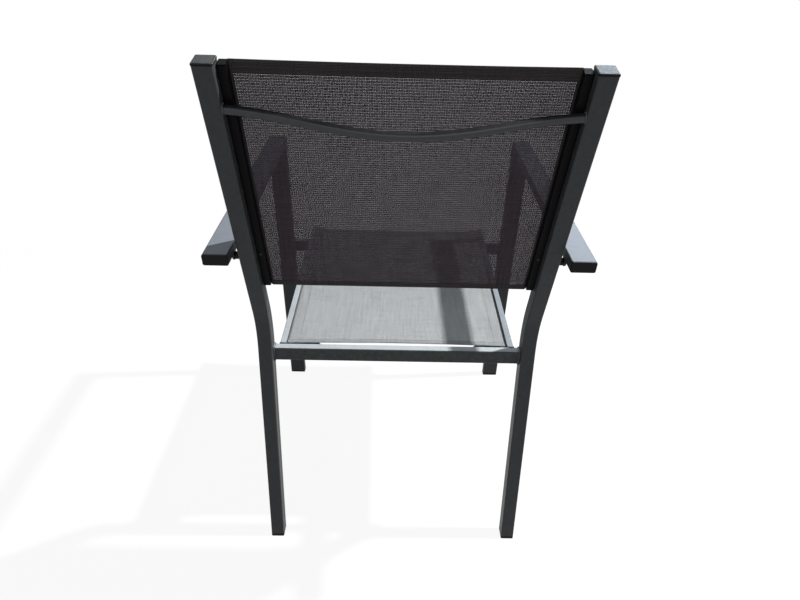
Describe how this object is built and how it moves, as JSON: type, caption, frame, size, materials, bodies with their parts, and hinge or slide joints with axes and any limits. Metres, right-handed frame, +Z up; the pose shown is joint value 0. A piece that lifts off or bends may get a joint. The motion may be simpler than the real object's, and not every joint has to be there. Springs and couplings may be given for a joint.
{
  "type": "stacking patio armchair",
  "caption": "Stacking patio armchair: bent square tube frame, flat mitred arms, woven mesh slings for seat and back held in slotted rails, and a bowed bar across the back.",
  "frame": {"origin": "on the ground, under the middle of the chair's width and length", "axes": "+Z is up; the chair faces -Y, with its back toward +Y; +X is the sitter's left"},
  "size_m": [0.579, 0.6153, 0.8998],
  "materials": {
    "powder_coat": "satin powder coat, anthracite",
    "rail_coat": "satin coat, black",
    "plug_plastic": "matt moulded",
    "back_mesh": "open woven mesh, charcoal",
    "seat_mesh": "open woven mesh, light grey",
    "spline_vinyl": "extruded vinyl rod",
    "zinc_steel": "zinc plated",
    "black_steel": "blackened"
  },
  "bodies": {
    "root": {"armrest_bolt_left": "zinc_steel", "armrest_bolt_right": "zinc_steel", "armrest_end_cap_left": "plug_plastic", "armrest_end_cap_right": "plug_plastic", "armrest_insert_left": "zinc_steel", "armrest_insert_right": "zinc_steel", "armrest_left": "powder_coat", "armrest_right": "powder_coat", "armrest_spacer_left": "plug_plastic", "armrest_spacer_right": "plug_plastic", "armrest_tab_left": "powder_coat", "armrest_tab_right": "powder_coat", "back_brace": "powder_coat", "back_rail_bottom_cap_left": "plug_plastic", "back_rail_bottom_cap_right": "plug_plastic", "back_rail_left": "rail_coat", "back_rail_right": "rail_coat", "back_rail_screw_left": "black_steel", "back_rail_screw_right": "black_steel", "back_rail_top_cap_left": "plug_plastic", "back_rail_top_cap_right": "plug_plastic", "back_sling": "back_mesh", "back_spline_left": "spline_vinyl", "back_spline_right": "spline_vinyl", "front_crossbar": "powder_coat", "front_foot_left": "plug_plastic", "front_foot_right": "plug_plastic", "front_leg_left": "powder_coat", "front_leg_right": "powder_coat", "rear_crossbar": "powder_coat", "rear_foot_left": "plug_plastic", "rear_foot_right": "plug_plastic", "rear_leg_left": "powder_coat", "rear_leg_right": "powder_coat", "seat_gusset_left": "powder_coat", "seat_gusset_right": "powder_coat", "seat_rail_cap_left": "plug_plastic", "seat_rail_cap_right": "plug_plastic", "seat_rail_left": "powder_coat", "seat_rail_right": "powder_coat", "seat_sling": "seat_mesh", "seat_spline_left": "spline_vinyl", "seat_spline_right": "spline_vinyl", "upright_cap_left": "plug_plastic", "upright_cap_right": "plug_plastic"}
  },
  "joints": []
}
